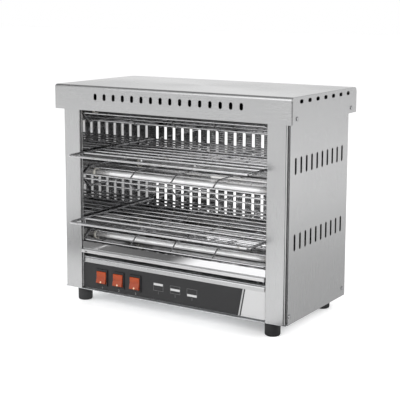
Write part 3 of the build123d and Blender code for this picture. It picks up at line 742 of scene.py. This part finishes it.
frames = [line for middle in picture_places for line in picture_frame(middle)]
bars = [picture_bar(middle, third) for third, middle in zip((2, 1, 0), picture_places)]
plate("label_picture_frames", frames, grey_ink, label_front)
plate("label_picture_bars", bars, white_ink, label_front)

# %% [markdown]
# Past the label's slanted end the panel has a thin dark line along the slant and then a plain pale
# film up to the post. Both lie on the panel itself, which is one label's thickness behind the
# label's face.

# %% The pale film at the label's end
label_low, label_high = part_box("control_label")
panel_front = label_high[1]
slant = 0.009
line_gap = 0.0027
line_width = 0.0028
film_gap = 0.0012
film_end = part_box("right_front_post")[0][0] - film_gap


def slant_ends(start):
    """Both ends of a line along the slant, a distance past the label's corner."""
    edge = label_high[0] + start
    return (edge - slant, label_low[2]), (edge, label_high[2])


line_start = slant_ends(line_gap)
line_end = slant_ends(line_gap + line_width)
dark_line = [line_start[0], line_end[0], line_end[1], line_start[1]]
film = [line_end[0], (film_end, label_low[2]), (film_end, label_high[2]), line_end[1]]
plate("label_end_line", [dark_line], ink("dark line ink", 0.03), panel_front)
plate("label_end_film", [film], ink("pale film", 0.56), panel_front)
print("film width:", round((film_end - label_high[0]) * 1000, 1), "mm")

# %% [markdown]
# Digits come from Blender's own font, turned from a text curve into a mesh so that they are plain geometry.

# %% Digits
digit_size = 0.00567
switch_digit_drop = 0.0038
picture_digit_drop = 0.0042


def digit_mesh(name, number):
    curve = bpy.data.curves.new(name, "FONT")
    curve.body = str(number)
    curve.size = digit_size
    curve.extrude = ink_depth / 2
    curve.align_x = "CENTER"
    curve.align_y = "CENTER"
    holder = bpy.data.objects.new(name + "_text", curve)
    bpy.context.scene.collection.objects.link(holder)
    bpy.context.view_layer.update()
    mesh = bpy.data.meshes.new_from_object(holder.evaluated_get(bpy.context.evaluated_depsgraph_get()))
    bpy.data.objects.remove(holder)
    return mesh


def digit(name, number, x, z, material):
    mesh = digit_mesh(name, number)
    place = Matrix.Translation((x, label_front - ink_depth / 2, z))
    mesh.transform(place @ Matrix.Rotation(math.radians(90), 4, "X"))
    stand(name, mesh, material, "housing")


for number, picture_place in zip(switches, picture_places):
    low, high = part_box(f"switch_housing_{number}")
    digit(f"switch_digit_{number}", number, (low[0] + high[0]) / 2, low[2] - switch_digit_drop, digit_ink)
    digit(f"picture_digit_{number}", number, picture_place, picture_low - picture_digit_drop, grey_ink)
print("digits:", 2 * len(switches))

# %% [markdown]
# ## The studio that the metal sees
#
# Bare metal shows whatever stands round it, so its look comes from the room more than from its own
# colour. The photograph's reflections tell what that room was like: a wide white soft box in front on
# the left, an unlit stretch of wall beside it, a dark ceiling above (the dark line along the cover's
# front bend), a white table, and one dark gap at the height of the table. The gap is why the oven's
# rear wall looks nearly black beside white slots.
#
# The directions are given as turns: degrees from the front towards the left, seen from above.

# %% Turns and the dark gap
gap_turn = (-58.0, -22.0)
gap_soft = 5.0
gap_depth = 0.96


def turn_from_front(strand_x, strand_y):
    """Degrees from the front towards the left, for a direction or a place on the table."""
    return (-strand_x).math("ARCTAN2", -strand_x, -strand_y) * (180 / math.pi)


def darkness(turn):
    """How dark the studio is at the height of the table, by the turn from the front."""
    return turn.between(*gap_turn, gap_soft) * gap_depth


print("the dark gap is", gap_turn[1] - gap_turn[0], "degrees wide")

# %% [markdown]
# A direction is three numbers: how far it points east, north and up. The room's brightness is worked
# out from them: the soft box and the wall behind add light, and the gap, the ceiling and the unlit
# stretch take it away. The ceiling is lighter straight above and towards the back.

# %% Brightness of the room
room_light = 0.95
gap_up = (0.1, 0.3)
front_north = (-0.45, -0.2)
box_turn = (-10.0, 38.0)
box_up = (0.1, 0.72)
box_soft = 0.08
box_light = 1.6
unlit_turn = (40.0, 75.0)
unlit_up = (0.02, 0.6)
unlit_soft = 0.06
unlit_depth = 0.75
turn_soft = 5.0
behind_north = (0.0, 0.6)
behind_light = 0.15
ceiling_up = (0.28, 0.5)
ceiling_depth = 0.75
back_north = (0.25, 0.6)
back_lift = 0.4
zenith_up = (0.8, 0.95)
zenith_share = 0.5


def ceiling_darkness(ahead, north, up):
    """How dark the ceiling is, which starts where the front wall ends."""
    above = up.step(*ceiling_up) * (1 - ahead) * (1 - up.step(*zenith_up) * zenith_share)
    return above * (ceiling_depth - north.step(*back_north) * back_lift)


def room_brightness(east, north, up):
    turn = turn_from_front(east, north)
    ahead = 1 - north.step(*front_north)
    gap = darkness(turn) * (1 - up.step(*gap_up))
    soft_box = ahead * up.between(*box_up, box_soft) * turn.between(*box_turn, turn_soft)
    unlit = turn.between(*unlit_turn, turn_soft) * up.between(*unlit_up, unlit_soft) * unlit_depth
    lit = room_light + soft_box * box_light + north.step(*behind_north) * behind_light
    return lit * (1 - gap) * (1 - ceiling_darkness(ahead, north, up)) * (1 - unlit)


print("the soft box is", box_turn[1] - box_turn[0], "degrees wide")

# %% [markdown]
# The world shows that room only to rays that leave a mirroring or a clear surface. The camera itself
# sees plain white, and soft light gets one even strength, so that the shading of dull pieces doesn't
# depend on the reflections. A panorama of a studio could do the same, but its parts couldn't be
# moved one by one.

# %% World
plain_light = 0.5


def world_light():
    world = bpy.data.worlds.new("studio")
    bpy.context.scene.world = world
    world.use_nodes = True
    tree = world.node_tree
    tree.nodes.clear()
    start = Strand(tree)
    direction = start.node("ShaderNodeTexCoord", output="Generated")
    axes = [start.node("ShaderNodeSeparateXYZ", None, {0: direction}, output=axis) for axis in "XYZ"]
    seen, glossy, through = [
        start.node("ShaderNodeLightPath", output=ray)
        for ray in ("Is Camera Ray", "Is Glossy Ray", "Is Transmission Ray")]
    shiny = glossy.math("MAXIMUM", glossy, through)
    indirect = shiny * room_brightness(*axes) + (1 - shiny) * plain_light
    sockets = {"Color": rgb(1.0, 1.0, 1.0), "Strength": seen + (1 - seen) * indirect}
    background = start.node("ShaderNodeBackground", None, sockets)
    output = tree.nodes.new("ShaderNodeOutputWorld")
    tree.links.new(background.socket, output.inputs["Surface"])


world_light()
print("world:", bpy.context.scene.world.name)

# %% [markdown]
# Three soft boxes light what is dull: the print, the feet, the ceramic and the floor. Point lamps
# would throw hard shadows. The boxes are hidden from reflections, because the world already draws the
# room that the metal mirrors.

# %% Soft boxes
lamp_aim = Vector((0, 0, 0.2))


def lamp(name, place, width, height, power):
    """A soft box that points at the toaster."""
    light = bpy.data.lights.new(name, "AREA")
    light.shape = "RECTANGLE"
    light.size = width
    light.size_y = height
    light.energy = power
    holder = bpy.data.objects.new(name, light)
    holder.location = place
    holder.visible_glossy = False
    holder.rotation_euler = (lamp_aim - Vector(place)).to_track_quat("-Z", "Y").to_euler()
    bpy.context.scene.collection.objects.link(holder)
    print(name, "of", power, "watts")


lamp("key_softbox", (-1.7, -2.5, 1.9), 3.0, 2.4, 66.0)
lamp("fill_softbox", (1.7, -2.6, 1.5), 2.4, 2.0, 44.0)
lamp("side_softbox", (2.9, 0.6, 1.7), 2.4, 2.4, 34.0)

# %% [markdown]
# In reflections the table isn't white all over, as the photograph's own reflections show: it is dark
# in the gap, dim beside the toaster and in front on the left, and a dark card with a narrow slit lies
# before the tray. A card made of geometry would be in the picture too, so it is drawn on the table,
# for reflections only.

# %% What the table shows in reflections
table_centre = (0.12, 0.0)
beside_turn = (-170.0, -70.0)
beside_soft = 12.0
beside_x = (0.4, 1.0)
beside_depth = 0.40
before_turn = (-5.0, 49.0)
before_soft = 10.0
before_reach = (0.95, 3.5)
reach_soft = 0.95
before_depth = 0.38
card_x = (-0.62, -0.205)
card_y = (-0.80, -0.40)
card_soft = (0.04, 0.03)
card_depth = 0.85
slit_x = (-0.440, -0.436)
slit_soft = 0.001


def table_darkness(x, y):
    """How much of the table's white is gone at a place, for a reflection."""
    across, ahead = x - table_centre[0], y - table_centre[1]
    turn = turn_from_front(across, ahead)
    distance = (across * across + ahead * ahead) ** 0.5
    beside = turn.between(*beside_turn, beside_soft) * (1 - x.step(*beside_x)) * beside_depth
    before = turn.between(*before_turn, before_soft) * distance.between(*before_reach, reach_soft)
    card = x.between(*card_x, card_soft[0]) * y.between(*card_y, card_soft[1])
    slit = x.between(*slit_x, slit_soft)
    return darkness(turn) + beside + before * before_depth + card * (1 - slit) * card_depth


print("card:", round(card_x[1] - card_x[0], 3), "by", round(card_y[1] - card_y[0], 3), "m")

# %% [markdown]
# The floor is a white sweep. Its own colour takes the toaster's soft shadow. A little glow is added for the
# camera and for reflections, so that the open floor reaches the photograph's white while the shadow under
# the toaster stays. It could be a second shader, but the Principled shader's own Emission Color does it in
# one. For the camera the glow fades close to the toaster, a painted shadow that darkens the edge of its
# real shadow.

# %% Floor material
toaster_half = (0.21, 0.13)
edge_shadow_reach = (-0.04, 0.03)
edge_shadow_depth = 0.75
mirror_share = 0.865
floor_lift = 0.52
fibre_scale = (30.0, 30.0, 30.0)


def floor_finish():
    finish = Finish("studio floor", Roughness=0.85, Emission_Strength=floor_lift)
    fibres = finish.noise(fibre_scale, detail=2.0)
    plain = fibres.blend(rgb(0.93, 0.93, 0.93), rgb(0.95, 0.95, 0.95))
    x, y = finish.along("X"), finish.along("Y")
    seen, shiny, through = [
        finish.start.node("ShaderNodeLightPath", output=ray)
        for ray in ("Is Camera Ray", "Is Glossy Ray", "Is Transmission Ray")]
    gone = table_darkness(x, y) * shiny
    wide, deep = [abs(place) - half for place, half in zip((x, y), toaster_half)]
    # Painted shadow: near the toaster the camera's glow is taken away, which darkens the floor round its
    # base.
    painted_edge_shadow = 1 - wide.math("MAXIMUM", wide, deep).step(*edge_shadow_reach)
    mirrored = shiny.math("MAXIMUM", shiny, through) * (1 - gone) * mirror_share
    glow = seen * (1 - painted_edge_shadow * edge_shadow_depth) + mirrored
    finish.feed("Base Color", gone.blend(plain, rgb(0.03, 0.03, 0.03)))
    finish.feed("Emission Color", glow.blend(rgb(0.0, 0.0, 0.0), rgb(1.0, 1.0, 1.0)))
    return finish.material


floor_material = floor_finish()
print("floor material:", floor_material.name)

# %% [markdown]
# The floor itself is one large square at the height of the feet.

# %% Floor
floor_half = 14.0
corner_signs = ((-1, -1), (1, -1), (1, 1), (-1, 1))
sweep = bmesh.new()
sweep.faces.new([sweep.verts.new((x * floor_half, y * floor_half, 0)) for x, y in corner_signs])
floor_mesh = mesh_of(sweep, "floor")
floor_mesh.materials.append(floor_material)
floor = bpy.data.objects.new("floor", floor_mesh)
bpy.context.scene.collection.objects.link(floor)
print("floor:", 2 * floor_half, "m wide")

# %% Number of finishes
print("finishes:", len(finishes))
